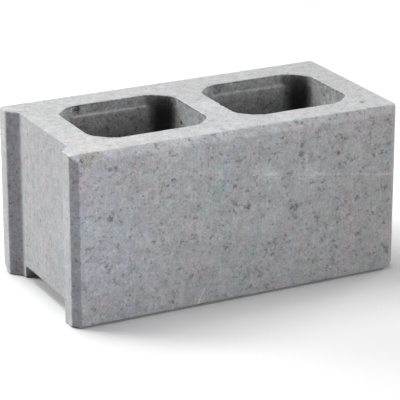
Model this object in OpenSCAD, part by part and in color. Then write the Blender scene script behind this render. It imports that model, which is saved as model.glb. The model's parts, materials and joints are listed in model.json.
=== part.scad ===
// Hollow concrete block with two cores, a grooved end and a plain end.
// +X runs along the block towards the plain end, +Y from the bevelled face to the back,
// +Z up. The origin is the middle of the block's box, on the floor. Millimetres.

/* [Body] */
// Length, over both ends
body_l = 390; // [300:1:600]
// Width, from the bevelled face to the back
body_w = 195; // [150:1:300]
// Height of one course
body_h = 190; // [90:1:250]

/* [Edges] */
// Bevel round the top and the sides of the front face
face_bevel = 8; // [0:0.5:15]
// Broken edge along the foot of the front face
foot_bevel = 3; // [0:0.5:6]
// Broken edge down the two back corners
back_bevel = 2; // [0:0.5:6]

/* [Grooved end] */
// Flat tip of each ear beside the groove
ear_tip = 18; // [10:0.5:30]
// Depth of the groove between the ears
groove_depth = 12; // [6:0.5:20]
// Run of the groove's sloping sides, along the width
groove_slope = 12; // [4:0.5:20]

/* [Walls round the cores] */
// Shell behind the front face, bevel included
front_shell = 41; // [30:0.5:60]
// Shell at the back
back_shell = 34; // [25:0.5:50]
// End web behind the groove
groove_web = 35.5; // [25:0.5:50]
// Web between the two cores
middle_web = 33; // [25:0.5:50]
// End web at the plain end
plain_web = 32.5; // [25:0.5:50]

/* [Cores] */
// Leg of the flat 45 degree corners of a core
core_corner = 20; // [8:0.5:35]
// Distance at which the bends beside those corners are broken
core_bend = 4; // [0.5:0.5:8]
// Depth of the wider mouth at the top of a core
mouth_depth = 13; // [5:0.5:30]
// Ledge under the mouth, along the core's two long walls
mouth_ledge = 2; // [0.5:0.25:5]

/* [Notch under the grooved end's web] */
// Height of the notch
notch_h = 14; // [5:0.5:30]
// Rounding of its corner at the front shell
notch_round_front = 10; // [1:0.5:20]
// Rounding of its corner at the back shell
notch_round_back = 3; // [1:0.5:20]

/* [Hidden] */
$fn = 96;
cut = 1;                                   // how far a cut runs past the face it opens

core_l = (body_l - groove_depth - groove_web - middle_web - plain_web) / 2;
core_w = body_w - front_shell - back_shell;
corner_l = min(core_corner, core_l / 2 - 12, core_w / 2 - 12);
bend = min(core_bend, (corner_l - mouth_ledge) / 2);
mouth_corner = corner_l + bend + 0.5;      // a little inside the shaft's own corner
core_x = [groove_depth + groove_web, groove_depth + groove_web + core_l + middle_web];

groove_front = face_bevel + ear_tip;       // the groove's mouth, between the two tips
groove_back = body_w - ear_tip;

// Plan of the whole block, from its front left corner
module block_plan() {
    polygon([
        [face_bevel, 0],
        [body_l - face_bevel, 0],
        [body_l, face_bevel],
        [body_l, body_w - back_bevel],
        [body_l - back_bevel, body_w],
        [back_bevel, body_w],
        [0, body_w - back_bevel],
        [0, groove_back],
        [groove_depth, groove_back - groove_slope],
        [groove_depth, groove_front + groove_slope],
        [0, groove_front],
        [0, face_bevel]
    ]);
}

// Plan of a core's shaft: flat 45 degree corners with their bends broken, from its own
// lower left corner
module shaft_plan(l, w, leg) {
    d = bend * cos(45);
    polygon([
        [leg + bend, 0], [l - leg - bend, 0],
        [l - leg + d, d], [l - d, leg - d],
        [l, leg + bend], [l, w - leg - bend],
        [l - d, w - leg + d], [l - leg + d, w - d],
        [l - leg - bend, w], [leg + bend, w],
        [leg - d, w - d], [d, w - leg + d],
        [0, w - leg - bend], [0, leg + bend],
        [d, leg - d], [leg - d, d]
    ]);
}

// Plan of a core's mouth, which is wider than the shaft along the two long walls only
module mouth_plan(l, w, leg) {
    polygon([
        [leg, 0], [l - leg, 0],
        [l - 1, leg - 1], [l - 1, w - leg + 1],
        [l - leg, w], [leg, w],
        [1, w - leg + 1], [1, leg - 1]
    ]);
}

// One core: the shaft, and the mouth above its ledges
module core() {
    translate([0, mouth_ledge, -cut])
        linear_extrude(body_h + 2 * cut)
            shaft_plan(core_l, core_w - 2 * mouth_ledge, corner_l - mouth_ledge);
    translate([0, 0, body_h - mouth_depth])
        linear_extrude(mouth_depth + cut)
            mouth_plan(core_l, core_w, mouth_corner);
}

// Wedge that takes a 45 degree edge off the front face, its corner on the X axis
module edge_cut(size) {
    translate([-cut, 0, 0])
        rotate([90, 0, 90])
            linear_extrude(body_l + 2 * cut)
                polygon([[-size - cut, -cut], [size + cut, -cut], [-cut, size + cut], [-size - cut, size + cut]]);
}

// Opening under the grooved end's web, with its upper corners rounded. It runs on past the
// core's cut corners, so its sides meet the straight walls of the core.
module web_notch() {
    front_y = front_shell + mouth_ledge;
    back_y = body_w - back_shell - mouth_ledge;
    rotate([90, 0, 90])
        linear_extrude(groove_depth + groove_web + corner_l + bend)
            difference() {
                translate([front_y, -cut])
                    square([back_y - front_y, notch_h + cut]);
                corner_fill(front_y, notch_round_front, 1);
                corner_fill(back_y, notch_round_back, -1);
            }
}

// What stays of a notch corner outside its rounding
module corner_fill(y, r, side) {
    difference() {
        translate([side > 0 ? y - cut : y - r, notch_h - r])
            square([r + cut, r + cut]);
        translate([y + side * r, notch_h - r])
            circle(r = r);
    }
}

module block() {
    color("silver")
        translate([-body_l / 2, -body_w / 2, 0])
            difference() {
                linear_extrude(body_h)
                    block_plan();
                translate([0, 0, body_h])
                    mirror([0, 0, 1])
                        edge_cut(face_bevel);
                edge_cut(foot_bevel);
                for (x = core_x)
                    translate([x, front_shell, 0])
                        core();
                web_notch();
            }
}

block();
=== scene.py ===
import json
import math
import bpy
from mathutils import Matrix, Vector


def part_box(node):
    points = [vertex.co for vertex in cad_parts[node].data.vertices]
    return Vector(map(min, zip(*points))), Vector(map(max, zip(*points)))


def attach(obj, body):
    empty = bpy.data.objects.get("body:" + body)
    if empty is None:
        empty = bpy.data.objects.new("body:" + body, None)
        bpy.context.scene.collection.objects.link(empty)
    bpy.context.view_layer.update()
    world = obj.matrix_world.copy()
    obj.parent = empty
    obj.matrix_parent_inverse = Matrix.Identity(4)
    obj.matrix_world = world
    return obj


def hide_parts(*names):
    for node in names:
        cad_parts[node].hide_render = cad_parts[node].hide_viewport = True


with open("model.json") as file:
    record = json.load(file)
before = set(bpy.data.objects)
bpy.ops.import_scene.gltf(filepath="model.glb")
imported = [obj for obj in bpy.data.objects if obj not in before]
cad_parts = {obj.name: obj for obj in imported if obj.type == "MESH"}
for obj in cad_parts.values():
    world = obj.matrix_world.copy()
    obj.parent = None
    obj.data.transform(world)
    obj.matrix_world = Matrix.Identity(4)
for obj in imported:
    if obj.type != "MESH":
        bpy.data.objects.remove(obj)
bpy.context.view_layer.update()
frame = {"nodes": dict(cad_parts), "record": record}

from types import SimpleNamespace

import bmesh
import bpy
from mathutils import Vector

sceneNow = bpy.context.scene
sceneNow.view_settings.view_transform = "Standard"

# places on the block are given in metres from its lowest front left corner
blockLow, blockHigh = (Vector(corner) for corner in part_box("block"))
coreBoxes = [opening["box_m"] for opening in frame["record"]["physics"]["openings"]
             if opening["name"].startswith("core_")]
coreMargin = 0.0145  # from a core's stated opening out to past its walls


def onBlock(place):
    return tuple(blockLow + Vector(place))


# ways to put nodes into a tree; a value may be a number or another node's output

def setInput(tree, node, key, value):
    socket = node.inputs[key] if isinstance(key, int) else next(
        s for s in node.inputs if s.name == key and s.enabled)
    if isinstance(value, bpy.types.NodeSocket):
        tree.links.new(value, socket)
    else:
        socket.default_value = value


def addNode(tree, kind, inputs=None, **settings):
    node = tree.nodes.new(kind)
    for key, value in settings.items():
        setattr(node, key, value)
    for key, value in (inputs or {}).items():
        setInput(tree, node, key, value)
    return node


def outOf(node, name=None):
    return next(s for s in node.outputs if s.enabled and name in (None, s.name))


def maths(tree, operation, *values):
    return addNode(tree, "ShaderNodeMath", dict(enumerate(values)), operation=operation).outputs[0]


def product(tree, first, *others):
    for other in others:
        first = maths(tree, "MULTIPLY", first, other)
    return first


def vectorMaths(tree, operation, first, second=None):
    node = addNode(tree, "ShaderNodeVectorMath", {0: first}, operation=operation)
    if second is not None:
        setInput(tree, node, 3 if operation == "SCALE" else 1, second)
    return node.outputs[1] if operation in ("LENGTH", "DOT_PRODUCT", "DISTANCE") else node.outputs[0]


def remap(tree, value, low, high, toLow=0.0, toHigh=1.0, kind="LINEAR"):
    node = addNode(tree, "ShaderNodeMapRange", interpolation_type=kind)
    for key, item in enumerate((value, low, high, toLow, toHigh)):
        setInput(tree, node, key, item)
    return node.outputs[0]


def between(tree, mask, off, on):
    # off where the mask is 0, on where it is 1
    return remap(tree, mask, 0.0, 1.0, off, on)


def splitVector(tree, vector):
    return addNode(tree, "ShaderNodeSeparateXYZ", {0: vector}).outputs


def noise(tree, where, scale, detail=2.0, rough=0.5, output=0):
    node = addNode(tree, "ShaderNodeTexNoise",
                   {"Vector": where, "Scale": scale, "Detail": detail, "Roughness": rough})
    return node.outputs[output]


def wander(tree, where, scale, detail, rough):
    # a vector that wanders round zero
    return vectorMaths(tree, "SUBTRACT", noise(tree, where, scale, detail, rough, 1), (0.5, 0.5, 0.5))


def startTree(name, kind, inputs, outputs):
    tree = bpy.data.node_groups.new(name, kind)
    for title, sort, default in inputs:
        socket = tree.interface.new_socket(title, in_out="INPUT", socket_type="NodeSocket" + sort)
        if default is not None:
            socket.default_value = default
    for title, sort in outputs:
        tree.interface.new_socket(title, in_out="OUTPUT", socket_type="NodeSocket" + sort)
    given = tree.nodes.new("NodeGroupInput").outputs
    result = tree.nodes.new("NodeGroupOutput").inputs
    return tree, given, result


# the cast surface: lengths in metres, reaches and blur in smoothing steps, and depths measured
# down from the block's top
castLook = {
    "voxel": 0.001,
    "triangles": 192000,
    "mouthWearDepths": (0.02, 0.012),  # where the mouth's wear begins, where it is full
    # the corners' shade is painted shade: a mask kept on the points darkens the cores' cut corners
    "cornerShadeDepths": (0.026, 0.004),  # where the corners' shade is full, where it has faded
    "cornerShadeAtTop": 0.8,
    "cornerBlur": 20,
    "poreWander": 0.0045,
    "poreFlattened": 1.25,
    "Seed": 7,
    "Arris Reach": 4,
    "Arris Wear": 0.9,
    "Spall Reach": 26,
    "Spall Share": 0.3,
    "Spall Size": 0.013,
    "Mouth Wear": 1.6,
    "Grain Height": 0.00012,
    "Grain Size": 0.005,
    "Wave Height": 0.0004,
    "Wave Size": 0.08,
    "Pore Depth": 0.0014,
    "Pore Radius": 0.0019,
    "Pore Spacing": 0.0062,
    "Pore Share": 0.5,
    "Cluster Size": 0.024,
    "Pit Depth": 0.0018,
    "Pit Radius": 0.0026,
    "Pit Spacing": 0.02,
    "Pit Share": 0.4,
}

# places where something has knocked the block: where, which way it faces, how deep, how wide a ball
knocks = {
    "footCorner": ((0.384, 0.002, 0.0), (0.52, -0.2, -0.83), 0.0055, 0.025),
    "topCorner": ((0.39, 0.006, 0.19), (0.68, -0.25, 0.69), 0.0026, 0.02),
    "earFoot": ((0.002, 0.006, 0.0), (-0.6, -0.5, -0.62), 0.002, 0.02),
    "rearEarFoot": ((0.0, 0.193, 0.0), (-0.55, 0.62, -0.55), 0.006, 0.04),
    "backCorner": ((0.39, 0.195, 0.19), (0.6, 0.5, 0.62), 0.0022, 0.02),
    "corePit": ((0.0775, 0.161, 0.1855), (0.0, -1.0, 0.0), 0.0035, 0.0036),
    "corePitFoot": ((0.077, 0.161, 0.1815), (0.0, -1.0, 0.0), 0.003, 0.0032),
    "mouthStep": ((0.1105, 0.161, 0.19), (0.1, -0.7, 0.7), 0.0016, 0.006),
    "mouthBite": ((0.219, 0.09, 0.19), (0.7, 0.1, 0.7), 0.0018, 0.006),
    "topPit": ((0.36, 0.03, 0.19), (0.0, 0.0, 1.0), 0.0018, 0.0035),
    "topPitEnd": ((0.365, 0.0325, 0.19), (0.0, 0.0, 1.0), 0.0012, 0.003),
}


def addHollows(tree, where, spacing, radius, share, sharpness):
    # ball-shaped hollows round scattered centres; gives a mask that is 1 in their middle
    cells = addNode(tree, "ShaderNodeTexVoronoi",
                    {"Vector": where, "Scale": maths(tree, "DIVIDE", 1.0, spacing)})
    lot = splitVector(tree, cells.outputs["Color"])
    reach = product(tree, radius, remap(tree, lot[1], 0.0, 1.0, 0.5, 1.2))
    distance = product(tree, cells.outputs["Distance"], spacing)
    inside = remap(tree, maths(tree, "DIVIDE", distance, reach), sharpness, 1.0, 1.0, 0.0, "SMOOTHSTEP")
    return product(tree, inside, maths(tree, "LESS_THAN", lot[0], share))


def setPlace(tree, geometry, name, value):
    return outOf(addNode(tree, "GeometryNodeSetPosition", {"Geometry": geometry, name: value}))


def keepMark(tree, geometry, name, value):
    # kept on the points, where the concrete reads it
    node = addNode(tree, "GeometryNodeStoreNamedAttribute",
                   {"Geometry": geometry, "Name": name}, data_type="FLOAT", domain="POINT")
    setInput(tree, node, "Value", value)
    return node.outputs[0]


def blurred(tree, value, steps, kind="FLOAT"):
    blur = addNode(tree, "GeometryNodeBlurAttribute", {"Iterations": steps}, data_type=kind)
    setInput(tree, blur, "Value", value)
    return outOf(blur, "Value")


def underTop(depths):
    return [blockHigh.z - depth for depth in depths]


def findCores(tree, at):
    # masks of the cores' mouths, of their walls, and of the cut corners that lie in shade; the walls' and the
    # corners' masks carry painted shade
    inCore = 0.0
    for low, high in coreBoxes:
        middle = [(low[axis] + high[axis]) / 2 for axis in range(2)]
        half = [(high[axis] - low[axis]) / 2 + coreMargin for axis in range(2)]
        off = vectorMaths(tree, "SUBTRACT", at.place, (*middle, 0.0))
        off = vectorMaths(tree, "DIVIDE", off, (*half, 10.0))
        x, y, _ = splitVector(tree, vectorMaths(tree, "ABSOLUTE", off))
        inside = maths(tree, "LESS_THAN", maths(tree, "MAXIMUM", x, y), 1.0)
        inCore = maths(tree, "MAXIMUM", inCore, inside)
    height = splitVector(tree, at.place)[2]
    mouth = product(tree, inCore, remap(tree, height, *underTop(castLook["mouthWearDepths"])))
    across, along, up = splitVector(tree, at.normal)
    wall = product(tree, inCore, remap(tree, maths(tree, "ABSOLUTE", up), 0.4, 0.7, 1.0, 0.0))
    # painted shade: full deep in the cut corners, a little weaker at the top
    shade = remap(tree, height, *underTop(castLook["cornerShadeDepths"]), 1.0, castLook["cornerShadeAtTop"])
    corner = product(tree, wall, remap(tree, product(tree, across, along), 0.2, 0.42), shade)
    return mouth, wall, corner


def wearArrises(tree, given, at, solid):
    # arrises wear round, and more here and there; at the mouths they crumble
    mouth, wall, corner = findCores(tree, at)
    nearMean, farMean = (
        vectorMaths(tree, "SUBTRACT", blurred(tree, at.place, given[reach], "FLOAT_VECTOR"), at.place)
        for reach in ("Arris Reach", "Spall Reach"))
    ragged = noise(tree, at.where, maths(tree, "DIVIDE", 2.2, given["Spall Size"]), 3.0, 0.65)
    wear = product(tree, given["Arris Wear"], remap(tree, ragged, 0.3, 0.7, 0.35, 1.3))
    wear = product(tree, wear, between(tree, mouth, 1.0, given["Mouth Wear"]))
    spots = noise(tree, at.where, maths(tree, "DIVIDE", 1.0, given["Spall Size"]), 4.0, 0.7)
    edgeOfSpot = between(tree, given["Spall Share"], 0.75, 0.4)
    spall = remap(tree, spots, edgeOfSpot, maths(tree, "ADD", edgeOfSpot, 0.1), 0.0, 0.55, "SMOOTHSTEP")
    convex = product(tree, vectorMaths(tree, "DOT_PRODUCT", nearMean, at.normal), -1000.0)
    solid = keepMark(tree, solid, "arris", maths(tree, "MAXIMUM", convex, 0.0))
    # the core mark picks out the core walls, which the concrete darkens with painted shade
    solid = keepMark(tree, solid, "core", wall)
    # the corner mark carries the painted shade of the cut corners
    solid = keepMark(tree, solid, "corner", blurred(tree, corner, castLook["cornerBlur"]))
    pull = vectorMaths(tree, "ADD", vectorMaths(tree, "SCALE", nearMean, wear),
                       vectorMaths(tree, "SCALE", farMean, spall))
    return setPlace(tree, solid, "Offset", pull)


def knockCorners(tree, at, solid):
    # each knock pushes the surface out of a rough ball
    for point, facing, depth, radius in knocks.values():
        centre = Vector(onBlock(point)) + Vector(facing).normalized() * (radius - depth)
        away = vectorMaths(tree, "SUBTRACT", at.place, tuple(centre))
        rough = between(tree, noise(tree, at.where, 260.0, 2.0), 0.94 * radius, 1.06 * radius)
        push = maths(tree, "SUBTRACT", rough, vectorMaths(tree, "LENGTH", away))
        push = maths(tree, "MAXIMUM", push, 0.0)
        away = vectorMaths(tree, "NORMALIZE", away)
        solid = setPlace(tree, solid, "Offset", vectorMaths(tree, "SCALE", away, push))
    return solid


def sinkPores(tree, given, at, solid):
    # pores in clusters, single pits, grain and a slow wave, all inwards
    stray = vectorMaths(tree, "SCALE", wander(tree, at.where, 430.0, 1.5, 0.5), castLook["poreWander"])
    strayed = vectorMaths(tree, "ADD", at.where, stray)
    strayed = vectorMaths(tree, "MULTIPLY", strayed, (1.0, 1.0, castLook["poreFlattened"]))
    onFace = remap(tree, splitVector(tree, at.normal)[1], -0.8, -0.2, 1.0, 0.5)
    cluster, grain, wave = (
        noise(tree, at.where, maths(tree, "DIVIDE", 1.0, given[size]), detail, rough)
        for size, detail, rough in (("Cluster Size", 2.0, 0.6), ("Grain Size", 3.0, 0.65),
                                    ("Wave Size", 1.0, 0.5)))
    crowd = remap(tree, cluster, 0.52, 0.68, 0.0, given["Pore Share"])
    pores = addHollows(tree, strayed, given["Pore Spacing"], given["Pore Radius"],
                       product(tree, crowd, onFace), 0.2)
    pits = addHollows(tree, strayed, given["Pit Spacing"], given["Pit Radius"],
                      product(tree, given["Pit Share"], onFace), 0.35)
    sink = product(tree, grain, given["Grain Height"])
    for share, depth in ((wave, "Wave Height"), (pores, "Pore Depth"), (pits, "Pit Depth")):
        sink = maths(tree, "MULTIPLY_ADD", share, given[depth], sink)
    # the pit mark also lets the concrete paint shade into the pores and pits
    solid = keepMark(tree, solid, "pit", maths(tree, "MAXIMUM", pores, pits))
    inwards = vectorMaths(tree, "SCALE", at.normal, product(tree, sink, -1.0))
    return setPlace(tree, solid, "Offset", inwards)


def buildCastSurface():
    whole = ("Seed", "Arris Reach", "Spall Reach")
    named = [name for name in castLook if name[0].isupper()]
    sockets = [("Block", "Geometry", None), ("Material", "Material", None)]
    sockets += [(name, "Int" if name in whole else "Float", castLook[name]) for name in named]
    sockets += [("Box Low", "Vector", tuple(blockLow)), ("Box High", "Vector", tuple(blockHigh))]
    tree, given, result = startTree("castSurface", "GeometryNodeTree", sockets, [("Block", "Geometry")])

    at = SimpleNamespace(place=outOf(addNode(tree, "GeometryNodeInputPosition")),
                         normal=outOf(addNode(tree, "GeometryNodeInputNormal"), "Normal"))
    shift = vectorMaths(tree, "SCALE", (1.37, 0.71, 2.13), given["Seed"])
    at.where = vectorMaths(tree, "ADD", at.place, shift)

    solid = wearArrises(tree, given, at, given["Block"])
    solid = knockCorners(tree, at, solid)
    solid = sinkPores(tree, given, at, solid)
    inBox = vectorMaths(tree, "MAXIMUM", at.place, given["Box Low"])
    inBox = vectorMaths(tree, "MINIMUM", inBox, given["Box High"])
    solid = setPlace(tree, solid, "Position", inBox)

    smooth = addNode(tree, "GeometryNodeSetShadeSmooth", {"Geometry": solid, "Shade Smooth": True})
    real = addNode(tree, "GeometryNodeRealizeInstances", {"Geometry": smooth.outputs[0]})
    dressed = addNode(tree, "GeometryNodeSetMaterial",
                      {"Geometry": real.outputs[0], "Material": given["Material"]})
    tree.links.new(dressed.outputs[0], result["Block"])
    print("block: cast surface of", len(tree.nodes), "nodes")
    return tree


def setTreeInputs(modifier, values):
    for item in modifier.node_group.interface.items_tree:
        if item.item_type == "SOCKET" and item.in_out == "INPUT" and item.name in values:
            modifier[item.identifier] = values[item.name]


def solidCopy(node, name):
    mesh = bpy.data.meshes.new(name)
    joined = bmesh.new()
    joined.from_mesh(node.data)
    bmesh.ops.remove_doubles(joined, verts=joined.verts, dist=1e-6)
    joined.to_mesh(mesh)
    joined.free()
    copy = bpy.data.objects.new(name, mesh)
    sceneNow.collection.objects.link(copy)
    return copy


def buildBlock(material):
    rough = solidCopy(frame["nodes"]["block"], "blockRough")
    voxels = rough.modifiers.new("voxels", "REMESH")
    voxels.mode = "VOXEL"
    voxels.voxel_size = castLook["voxel"] * 1
    surface = rough.modifiers.new("surface", "NODES")
    surface.node_group = buildCastSurface()
    setTreeInputs(surface, {**castLook, "Material": material})

    dense = rough.evaluated_get(bpy.context.evaluated_depsgraph_get())
    count = sum(len(face.vertices) - 2 for face in dense.data.polygons)
    print("block: dense surface of", count, "triangles")
    thin = rough.modifiers.new("thin", "DECIMATE")
    thin.ratio = min(1.0, castLook["triangles"] / count)
    thin.use_collapse_triangulate = True
    mesh = bpy.data.meshes.new_from_object(rough.evaluated_get(bpy.context.evaluated_depsgraph_get()))
    rough.modifiers.clear()
    bpy.data.objects.remove(rough)
    mesh.name = "castBlock"
    block = bpy.data.objects.new("castBlock", mesh)
    sceneNow.collection.objects.link(block)
    print("block: kept", len(mesh.polygons), "triangles")
    return block


# shader groups: each gives a tone or a mask, and the concrete multiplies them together

def buildToneNoise():
    tree, given, result = startTree("toneNoise", "ShaderNodeTree", [
        ("Vector", "Vector", None), ("Scale", "Float", 50.0), ("Detail", "Float", 3.0),
        ("Roughness", "Float", 0.6), ("Spread", "Float", 0.1)], [("Tone", "Float")])
    value = noise(tree, given["Vector"], given["Scale"], given["Detail"], given["Roughness"])
    spread = product(tree, maths(tree, "SUBTRACT", value, 0.5), given["Spread"], 4.0)
    tree.links.new(maths(tree, "ADD", spread, 1.0), result["Tone"])
    return tree


def buildSpecks():
    tree, given, result = startTree("specks", "ShaderNodeTree", [
        ("Vector", "Vector", None), ("Spacing", "Float", 0.004), ("Radius", "Float", 0.001),
        ("Share", "Float", 0.3)], [("Mask", "Float")])
    mask = addHollows(tree, given["Vector"], given["Spacing"], given["Radius"], given["Share"], 0.3)
    tree.links.new(mask, result["Mask"])
    return tree


def buildStroke():
    # a thin mark between two points, broken up along its length
    tree, given, result = startTree("stroke", "ShaderNodeTree", [
        ("Vector", "Vector", None), ("Start", "Vector", (0, 0, 0)), ("End", "Vector", (0, 0, 1)),
        ("Width", "Float", 0.001), ("Broken", "Float", 0.5)], [("Mask", "Float")])
    along = vectorMaths(tree, "SUBTRACT", given["End"], given["Start"])
    off = vectorMaths(tree, "SUBTRACT", given["Vector"], given["Start"])
    share = maths(tree, "DIVIDE", vectorMaths(tree, "DOT_PRODUCT", off, along),
                  vectorMaths(tree, "DOT_PRODUCT", along, along))
    share = maths(tree, "MINIMUM", maths(tree, "MAXIMUM", share, 0.0), 1.0)
    nearest = vectorMaths(tree, "SCALE", along, share)
    distance = maths(tree, "DIVIDE", vectorMaths(tree, "DISTANCE", off, nearest), given["Width"])
    mask = remap(tree, distance, 0.3, 1.0, 1.0, 0.0, "SMOOTHSTEP")
    breaks = remap(tree, noise(tree, given["Vector"], 170.0, 2.0), 0.4, 0.6, 0.0, 1.0)
    broken = maths(tree, "SUBTRACT", 1.0, product(tree, given["Broken"], breaks))
    tree.links.new(product(tree, mask, broken), result["Mask"])
    return tree


def buildPatch():
    # a soft round patch with a ragged edge
    tree, given, result = startTree("patch", "ShaderNodeTree", [
        ("Vector", "Vector", None), ("Middle", "Vector", (0, 0, 0)), ("Reach", "Float", 0.01)],
        [("Mask", "Float")])
    distance = vectorMaths(tree, "DISTANCE", given["Vector"], given["Middle"])
    edge = remap(tree, noise(tree, given["Vector"], 220.0, 3.0), 0.3, 0.7, 0.6, 1.4)
    share = maths(tree, "DIVIDE", distance, product(tree, given["Reach"], edge))
    grit = remap(tree, noise(tree, given["Vector"], 620.0, 3.0, 0.7), 0.4, 0.56, 0.35, 1.0)
    mask = remap(tree, share, 0.35, 1.0, 1.0, 0.0, "SMOOTHSTEP")
    tree.links.new(product(tree, mask, grit), result["Mask"])
    return tree


# a tone of 1 changes nothing; left is the grooved end; the long faces and the cores are the busy
# faces, and the ends and the top the calm ones
concreteLook = {
    "albedo": 0.5,
    "tint": (1.0, 1.0, 1.03),
    "calmContrast": (0.78, 0.88),  # on the ends, on the top
    "streak": 0.066,
    "streakInCore": 0.4,
    "streakStretch": 0.06,
    # painted light and shade: lighter towards the left end, the long faces lighter towards their top, the top
    # lighter towards its front
    "faceLeft": 1.2,
    "faceRight": 0.86,
    "faceRise": 0.19,  # from foot to top
    "topLeft": 1.04,
    "topRight": 0.97,
    "topFront": 1.04,
    "topBack": 0.94,
    # painted shade: the core walls darker all over
    "corePaintedShade": 0.81,
    "coreContrast": 1.6,
    "coreTint": (1.0, 1.0, 0.975),
    "cornerPaintedShade": 0.1,  # painted shade on the cut corners at a core's left front and right back
    "openCornerPaintedLight": 1.36,  # painted light on the cut corner at its left back
    "farWallHigh": 0.86,  # painted light and shade on its right wall: lighter further down, darker near the top
    "farWallLow": 1.6,
    "farWallDepths": (0.03, 0.008),
    "frontSlopePaintedShade": 0.92,  # painted shade on upright slopes that face the front
    # painted shade on upright slopes that face the back
    "backSlopePaintedShade": 0.8,
    "blueLeft": 1.045,
    "blueRight": 0.975,
    "blueTop": 0.98,
    "driftOthers": 0.45,  # drift of green and blue, as a share of the red's
    "driftTop": 0.55,
    "driftSides": (0.75, 1.0),  # on calm faces, on busy ones
    # painted shade in the pores and pits
    "pitPaintedShade": 0.68,
    "arrisTone": 0.10,
    # painted shade on the bevels between the long faces and the top
    "bevelPaintedShade": 0.86,
    "lipTone": 0.5,
    "lipDepths": (0.0032, 0.0018),
    "crowdScale": 60.0,
    "crowdShare": (0.35, 1.0),  # on calm faces, on busy ones
    "crowdTone": 0.96,
    "voidScale": 200.0,
    "voidStart": (0.64, 0.53),  # outside a crowd, in its middle
    "voidSoftness": 0.13,
    "voidFlattened": 1.15,
    # painted shade in the voids
    "voidPaintedShade": 0.6,
    "grainBend": 0.005,
    "bump": 0.5,
    "bumpHeight": 0.0005,
    "roughness": (0.86, 0.98),
    "specular": 0.25,
}

# name: scale in 1/m, detail, roughness, spread
tones = {
    "broad": (9.0, 2.0, 0.5, 0.04),
    "mottle": (45.0, 3.0, 0.6, 0.075),
    "blotch": (130.0, 3.0, 0.65, 0.165),
    "grain": (400.0, 4.0, 0.72, 0.25),
}

# single grains: spacing, radius, share on calm and busy faces, tone
grains = {
    "dark": (0.0048, 0.0018, (0.18, 0.34), 0.79),
    "pale": (0.0065, 0.0016, (0.25, 0.25), 1.14),
}

# drifts of colour: scale in 1/m, amount of red
drifts = {
    "broad": (55.0, 0.25),
    "fine": (300.0, 0.095),
}

# start, end, width, broken share, strength
scratches = {
    "washLine": ((0.31, 0, 0.1238), (0.39, 0, 0.1108), 0.0018, 0.4, 0.2),
    "washFaint": ((0.222, 0, 0.1375), (0.315, 0, 0.123), 0.0026, 0.9, 0.16),
    "scrapeOne": ((0.083, 0, 0.001), (0.088, 0, 0.013), 0.0013, 0.3, 0.3),
    "scrapeTwo": ((0.112, 0, 0.001), (0.1185, 0, 0.013), 0.0013, 0.3, 0.3),
    "scrapeThree": ((0.142, 0, 0.001), (0.1515, 0, 0.019), 0.0015, 0.2, 0.4),
    "dropLine": ((0.274, 0, 0.160), (0.2745, 0, 0.134), 0.0018, 0.8, 0.14),
    "frontEar": ((0, 0.0165, 0), (0, 0.0165, 0.19), 0.012, 0.2, 0.13),
    "rearEar": ((0, 0.187, 0), (0, 0.187, 0.19), 0.012, 0.2, 0.13),
}

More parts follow.
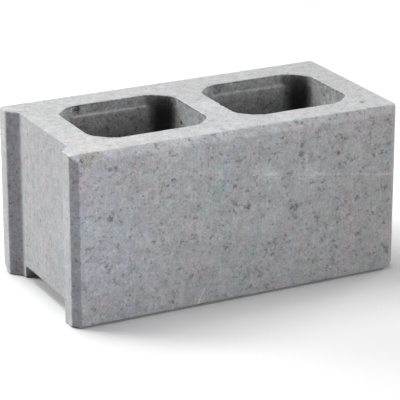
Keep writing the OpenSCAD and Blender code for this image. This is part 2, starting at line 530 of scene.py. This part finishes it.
# middle, reach, tone, tint
patches = {
    "earTop": ((0.006, 0.014, 0.19), 0.012, 1.12, (1.0, 1.0, 1.0)),
    "limeTop": ((0.045, 0.03, 0.19), 0.03, 1.05, (1.0, 1.01, 0.99)),
    "mossyEdge": ((0.019, 0.003, 0.1885), 0.015, 0.64, (1.04, 1.03, 0.86)),
    "mossySide": ((0.031, 0.004, 0.188), 0.009, 0.74, (1.03, 1.01, 0.92)),
    "mossOne": ((0.0115, 0.0015, 0.1855), 0.0033, 0.31, (1.0, 1.0, 0.95)),
    "mossTwo": ((0.0185, 0.003, 0.1875), 0.0031, 0.28, (1.0, 1.0, 0.95)),
    "mossThree": ((0.0245, 0.002, 0.186), 0.0029, 0.31, (1.0, 1.0, 0.95)),
    "mossFour": ((0.032, 0.006, 0.19), 0.0033, 0.34, (1.0, 1.0, 0.95)),
    "greenCorner": ((0.056, 0.148, 0.183), 0.02, 1.05, (0.95, 1.01, 1.0)),
    "notchShade": ((0.062, 0.16, 0.004), 0.04, 0.4, (1.0, 1.0, 1.0)),
    # painted shade in two knocked pits, in a core's mouth and on the top
    "corePit": ((0.0775, 0.161, 0.184), 0.0055, 0.2, (1.0, 1.0, 1.0)),
    "topVoid": ((0.361, 0.031, 0.19), 0.005, 0.6, (1.0, 1.0, 1.0)),
    # painted shade: dark spots for voids in the front face
    "voidTwinLeft": ((0.0425, 0.0, 0.1705), 0.0029, 0.39, (1.0, 1.0, 1.0)),
    "voidTwinRight": ((0.0495, 0.0, 0.1715), 0.0027, 0.39, (1.0, 1.0, 1.0)),
    "limeStart": ((0.228, 0.0, 0.1385), 0.018, 1.14, (0.98, 1.0, 1.01)),
    "limeMiddle": ((0.275, 0.0, 0.1285), 0.02, 1.13, (0.98, 1.0, 1.01)),
    "blueEnd": ((0.02, 0.0, 0.085), 0.1, 1.06, (0.965, 0.995, 1.02)),
    "limeBand": ((0.15, 0.0, 0.15), 0.06, 1.04, (0.975, 1.0, 1.01)),
    "limeWeb": ((0.2025, 0.1, 0.19), 0.05, 1.05, (0.985, 1.0, 1.01)),
    "paleTop": ((0.19, 0.0, 0.165), 0.09, 1.0, (0.975, 1.0, 1.005)),
    "chipFoot": ((0.001, 0.013, 0.003), 0.008, 1.2, (1.0, 1.0, 1.0)),
    "greenFoot": ((0.19, 0.0, 0.03), 0.05, 1.0, (0.965, 1.01, 1.0)),
    # painted shade: more dark spots for voids in the front face
    "voidPair": ((0.268, 0.0, 0.1625), 0.0040, 0.39, (1.0, 1.0, 1.0)),
    "voidPairFoot": ((0.2675, 0.0, 0.153), 0.0044, 0.36, (1.0, 1.0, 1.0)),
    "voidMiddle": ((0.204, 0.0, 0.104), 0.0048, 0.41, (1.0, 1.0, 1.0)),
    "voidBeside": ((0.188, 0.0, 0.11), 0.0044, 0.46, (1.0, 1.0, 1.0)),
    "voidRight": ((0.341, 0.0, 0.05), 0.0048, 0.39, (1.0, 1.0, 1.0)),
    "voidHigh": ((0.314, 0.0, 0.147), 0.0037, 0.41, (1.0, 1.0, 1.0)),
    "voidSlit": ((0.262, 0.0, 0.093), 0.0050, 0.40, (1.0, 1.0, 1.0)),
    "voidSlitEnd": ((0.256, 0.0, 0.0945), 0.0038, 0.44, (1.0, 1.0, 1.0)),
    "voidLeft": ((0.042, 0.0, 0.117), 0.0048, 0.44, (1.0, 0.99, 0.98)),
    "voidUpper": ((0.115, 0.0, 0.148), 0.0044, 0.44, (1.0, 1.0, 1.0)),
}


def surveyPoint(tree):
    # where a point is, which way it faces, and which part of the block it is on
    given = addNode(tree, "ShaderNodeTexCoord").outputs
    at = SimpleNamespace(where=given["Object"])
    at.x, at.y, at.z = splitVector(tree, at.where)
    at.wayX, at.wayY, _ = splitVector(tree, given["Normal"])
    facing = vectorMaths(tree, "ABSOLUTE", given["Normal"])
    at.facingX, at.facingY, at.facingZ = splitVector(tree, facing)
    for name in ("pit", "arris", "core", "corner"):
        mark = addNode(tree, "ShaderNodeAttribute", attribute_name=name)
        setattr(at, name, mark.outputs["Fac"])
    # the two long faces and the cores are busy: more voids and more contrast than the rest
    at.outside = between(tree, at.core, 1.0, 0.0)
    at.longFace = product(tree, remap(tree, at.facingY, 0.35, 0.65), at.outside)
    at.busy = maths(tree, "MAXIMUM", at.longFace, at.core)
    return at


def mottleTone(tree, useGroup, at):
    # clouds of several sizes, then fine upright streaks
    look = concreteLook
    calm = remap(tree, at.facingZ, 0.3, 0.9, *look["calmContrast"])
    gain = product(tree, between(tree, at.busy, calm, 1.0), between(tree, at.core, 1.0, look["coreContrast"]))
    tone = 1.0
    for scale, detail, rough, spread in tones.values():
        cloud = useGroup("tone", Vector=at.where, Scale=scale, Detail=detail, Roughness=rough,
                         Spread=product(tree, gain, spread))
        tone = product(tree, cloud, tone)
    stretched = vectorMaths(tree, "MULTIPLY", at.where, (1.0, 1.0, look["streakStretch"]))
    spread = product(tree, remap(tree, at.facingZ, 0.2, 0.8, look["streak"], 0.0),
                     between(tree, at.core, 1.0, look["streakInCore"]))
    streak = useGroup("tone", Vector=stretched, Scale=420.0, Detail=2.0, Roughness=0.6, Spread=spread)
    return product(tree, tone, streak)


def paintedLightTone(tree, at):
    # painted light and shade: the slow change from end to end, from foot to top, and from front to back over
    # the top
    look = concreteLook
    endToEnd = {name: remap(tree, at.x, blockLow.x, blockHigh.x, look[name + "Left"], look[name + "Right"])
                for name in ("face", "top")}
    overTop = remap(tree, at.y, blockLow.y, blockHigh.y, look["topFront"], look["topBack"])
    overTop = remap(tree, at.facingZ, 0.5, 0.9, 1.0, overTop)
    rise = remap(tree, at.z, 0.0, blockHigh.z, 1.0 - look["faceRise"] / 2, 1.0 + look["faceRise"] / 2)
    onFace = product(tree, endToEnd["face"], rise)
    return product(tree, overTop, between(tree, at.longFace, endToEnd["top"], onFace))


def scatterVoids(tree, useGroup, at):
    # voids in crowds, a little flattened and darkened with painted shade, and single dark and pale grains
    look = concreteLook
    bend = vectorMaths(tree, "SCALE", wander(tree, at.where, 380.0, 2.0, 0.6), look["grainBend"])
    bent = vectorMaths(tree, "ADD", at.where, bend)
    flat = vectorMaths(tree, "MULTIPLY", bent, (1.0, 1.0, look["voidFlattened"]))
    crowd = product(tree, remap(tree, noise(tree, at.where, look["crowdScale"], 3.0, 0.6), 0.36, 0.66),
                    between(tree, at.busy, *look["crowdShare"]))
    start = between(tree, crowd, *look["voidStart"])
    voids = remap(tree, noise(tree, flat, look["voidScale"], 2.0, 0.55),
                  start, maths(tree, "ADD", start, look["voidSoftness"]))
    masks = {"crowd": (crowd, look["crowdTone"]), "voids": (voids, look["voidPaintedShade"])}
    for name, (spacing, radius, share, tone) in grains.items():
        mask = useGroup("specks", Vector=bent, Spacing=spacing, Radius=radius,
                        Share=between(tree, at.busy, *share))
        masks[name] = (mask, tone)
    return masks


def markParts(tree, at):
    # the parts of the block that get a tone, each with that tone: painted light and shade on the cores'
    # walls, cut corners and right walls, painted shade on the upright slopes, the top bevels and in the pits,
    # and a darker band along the top of the core walls
    look = concreteLook
    # painted shade on the bevels that slope between the long faces and the top
    bevel = remap(tree, product(tree, at.facingY, at.facingZ), 0.35, 0.48)
    frayed = remap(tree, noise(tree, at.where, 190.0, 3.0, 0.6), 0.35, 0.65, 0.1, 1.0)
    lip = product(tree, at.core, frayed, remap(tree, at.z, *underTop(look["lipDepths"])))
    # painted light on a core's cut corner at its left back
    openCorner = product(tree, at.core, remap(tree, maths(tree, "SUBTRACT", at.wayX, at.wayY), 1.15, 1.35))
    # painted light and shade: a core's right wall lighter further down, darker near the top
    farWall = product(tree, at.core, remap(tree, at.wayX, -0.97, -0.88, 1.0, 0.0))
    farWallPaintedLight = remap(tree, at.z, *underTop(look["farWallDepths"]), look["farWallLow"], look["farWallHigh"])
    # painted shade on the upright slopes outside the cores
    slope = product(tree, remap(tree, product(tree, at.facingX, at.facingY), 0.33, 0.46), at.outside)
    slopePaintedShade = remap(tree, at.wayY, -0.2, 0.2, look["frontSlopePaintedShade"], look["backSlopePaintedShade"])
    return {
        "openCorner": (openCorner, look["openCornerPaintedLight"]),
        "farWall": (farWall, farWallPaintedLight),
        "slope": (slope, slopePaintedShade),
        "pit": (at.pit, look["pitPaintedShade"]),
        "core": (at.core, look["corePaintedShade"]),
        "corner": (at.corner, look["cornerPaintedShade"]),
        "bevel": (bevel, look["bevelPaintedShade"]),
        "lip": (lip, look["lipTone"]),
    }


def driftColour(tree, at, colour):
    # broad and fine drifts, then the slow change of blue along the block
    look = concreteLook
    strength = between(tree, at.busy, *look["driftSides"])
    strength = remap(tree, at.facingZ, 0.3, 0.9, strength, look["driftTop"])
    for scale, red in drifts.values():
        drift = wander(tree, at.where, scale, 2.0, 0.6)
        drift = vectorMaths(tree, "MULTIPLY", drift,
                            (red, look["driftOthers"] * red, look["driftOthers"] * red))
        tint = vectorMaths(tree, "ADD", vectorMaths(tree, "SCALE", drift, strength), (1.0, 1.0, 1.0))
        colour = vectorMaths(tree, "MULTIPLY", colour, tint)
    blueOff = remap(tree, at.facingZ, 0.3, 0.9, 1.0, look["blueTop"])
    blueOn = remap(tree, at.x, blockLow.x, blockHigh.x, look["blueLeft"], look["blueRight"])
    blue = between(tree, at.longFace, blueOff, blueOn)
    tint = addNode(tree, "ShaderNodeCombineXYZ", {0: 1.0, 1: 1.0, 2: blue}).outputs[0]
    return vectorMaths(tree, "MULTIPLY", colour, tint)


def layColour(tree, colour, mask, tint):
    mix = addNode(tree, "ShaderNodeMix", data_type="RGBA", blend_type="MULTIPLY")
    setInput(tree, mix, "Factor", mask)
    setInput(tree, mix, "A", colour)
    setInput(tree, mix, "B", (*tint, 1))
    return outOf(mix)


def buildConcrete():
    look = concreteLook
    material = bpy.data.materials.new("concrete")
    material.use_nodes = True
    tree = material.node_tree
    tree.nodes.clear()
    groups = {"tone": buildToneNoise(), "specks": buildSpecks(), "stroke": buildStroke(),
              "patch": buildPatch()}

    def useGroup(name, **inputs):
        return addNode(tree, "ShaderNodeGroup", inputs, node_tree=groups[name]).outputs[0]

    at = surveyPoint(tree)
    scattered = scatterVoids(tree, useGroup, at)
    tone = product(tree, mottleTone(tree, useGroup, at), paintedLightTone(tree, at))
    for mask, amount in (*scattered.values(), *markParts(tree, at).values()):
        tone = product(tree, tone, between(tree, mask, 1.0, amount))
    tone = product(tree, tone, remap(tree, at.arris, 0.0, 0.5, 1.0, 1.0 + look["arrisTone"]))
    for start, end, width, broken, strength in scratches.values():
        mask = useGroup("stroke", Vector=at.where, Start=onBlock(start), End=onBlock(end),
                        Width=width, Broken=broken)
        tone = product(tree, tone, between(tree, mask, 1.0, 1.0 + strength))

    colour = vectorMaths(tree, "SCALE", tuple(look["albedo"] * part for part in look["tint"]), tone)
    colour = driftColour(tree, at, colour)
    colour = layColour(tree, colour, at.core, look["coreTint"])
    for middle, reach, strength, tint in patches.values():
        mask = useGroup("patch", Vector=at.where, Middle=onBlock(middle), Reach=reach)
        colour = layColour(tree, colour, mask, [strength * part for part in tint])

    # fine relief; voids and dark grains lie deeper
    fine = useGroup("tone", Vector=at.where, Scale=950.0, Detail=3.0, Roughness=0.7, Spread=0.25)
    hollow = maths(tree, "MAXIMUM", scattered["voids"][0], scattered["dark"][0])
    bump = addNode(tree, "ShaderNodeBump", {
        "Strength": look["bump"], "Distance": look["bumpHeight"],
        "Height": maths(tree, "MULTIPLY_ADD", hollow, -0.8, fine)})
    shader = addNode(tree, "ShaderNodeBsdfPrincipled", {
        "Base Color": colour, "Normal": bump.outputs[0],
        "Roughness": remap(tree, fine, 0.6, 1.4, *look["roughness"]),
        "Specular IOR Level": look["specular"]})
    out = addNode(tree, "ShaderNodeOutputMaterial")
    tree.links.new(shader.outputs[0], out.inputs["Surface"])
    print("concrete: material of", len(tree.nodes), "nodes")
    return material


stageLook = {
    "floorSize": 12.0,
    "floorTone": 0.9,  # as the camera sees it
    "bounceTone": 0.35,  # as it lights the block from below
    "world": 0.02,
    "lightAim": (0, 0, 0.1),
}

cameraSet = {
    "azimuth": -27.08,
    "elevation": 19.95,
    "distance": 2.47,
    "lens": 202.1,
    "aim": (-0.0014, -0.0042, 0.0829),
    "farClip": 100,
}

# each light: azimuth and elevation of where it stands, its distance, its size and its power
lightSet = {
    "endLight": (-132, 18, 2.4, 1.2, 51),
    "highLight": (-150, 65, 2.4, 1.2, 28),
    "faceLight": (20, 8, 2.4, 1.2, 28.3),
    "plainEndLight": (110, 8, 2.4, 1.2, 28),
    "topLight": (0, 90, 2.4, 1.2, 26),
}


def standAt(thing, azimuth, elevation, distance, aim):
    a, e = math.radians(azimuth), math.radians(elevation)
    away = Vector((math.sin(a) * math.cos(e), -math.cos(a) * math.cos(e), math.sin(e)))
    thing.location = Vector(aim) + away * distance
    thing.rotation_mode = "QUATERNION"
    thing.rotation_quaternion = away.to_track_quat("Z", "Y")
    sceneNow.collection.objects.link(thing)


def buildCamera():
    look = cameraSet
    camera = bpy.data.objects.new("camera", bpy.data.cameras.new("camera"))
    camera.data.lens = look["lens"]
    camera.data.clip_end = look["farClip"]
    standAt(camera, look["azimuth"], look["elevation"], look["distance"], look["aim"])
    sceneNow.camera = camera
    print("camera:", look["lens"], "mm lens,", look["distance"], "m away")


def buildLights():
    for name, (azimuth, elevation, distance, size, power) in lightSet.items():
        lamp = bpy.data.lights.new(name, "AREA")
        lamp.shape = "DISK"
        lamp.size = size
        lamp.energy = power
        standAt(bpy.data.objects.new(name, lamp), azimuth, elevation, distance, stageLook["lightAim"])
    world = bpy.data.worlds.new("studio")
    world.use_nodes = True
    background = world.node_tree.nodes["Background"].inputs
    background["Color"].default_value = (1, 1, 1, 1)
    background["Strength"].default_value = stageLook["world"]
    sceneNow.world = world
    print("studio:", len(lightSet), "lights")


def buildFloor():
    half = stageLook["floorSize"] / 2
    mesh = bpy.data.meshes.new("floor")
    mesh.from_pydata([(-half, -half, 0), (half, -half, 0), (half, half, 0), (-half, half, 0)], [],
                     [(0, 1, 2, 3)])
    floor = bpy.data.objects.new("floor", mesh)
    sceneNow.collection.objects.link(floor)
    material = bpy.data.materials.new("paleFloor")
    material.use_nodes = True
    tree = material.node_tree
    tree.nodes.clear()
    seen = addNode(tree, "ShaderNodeLightPath").outputs["Is Camera Ray"]
    shades = [addNode(tree, "ShaderNodeBsdfDiffuse", {"Color": (tone, tone, tone, 1)}).outputs[0]
              for tone in (stageLook["bounceTone"], stageLook["floorTone"])]
    mix = addNode(tree, "ShaderNodeMixShader", {0: seen, 1: shades[0], 2: shades[1]})
    out = addNode(tree, "ShaderNodeOutputMaterial")
    tree.links.new(mix.outputs[0], out.inputs["Surface"])
    mesh.materials.append(material)
    print("floor:", stageLook["floorSize"], "m wide")


buildCamera()
buildLights()
buildFloor()
block = buildBlock(buildConcrete())
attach(block, "root")
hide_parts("block")
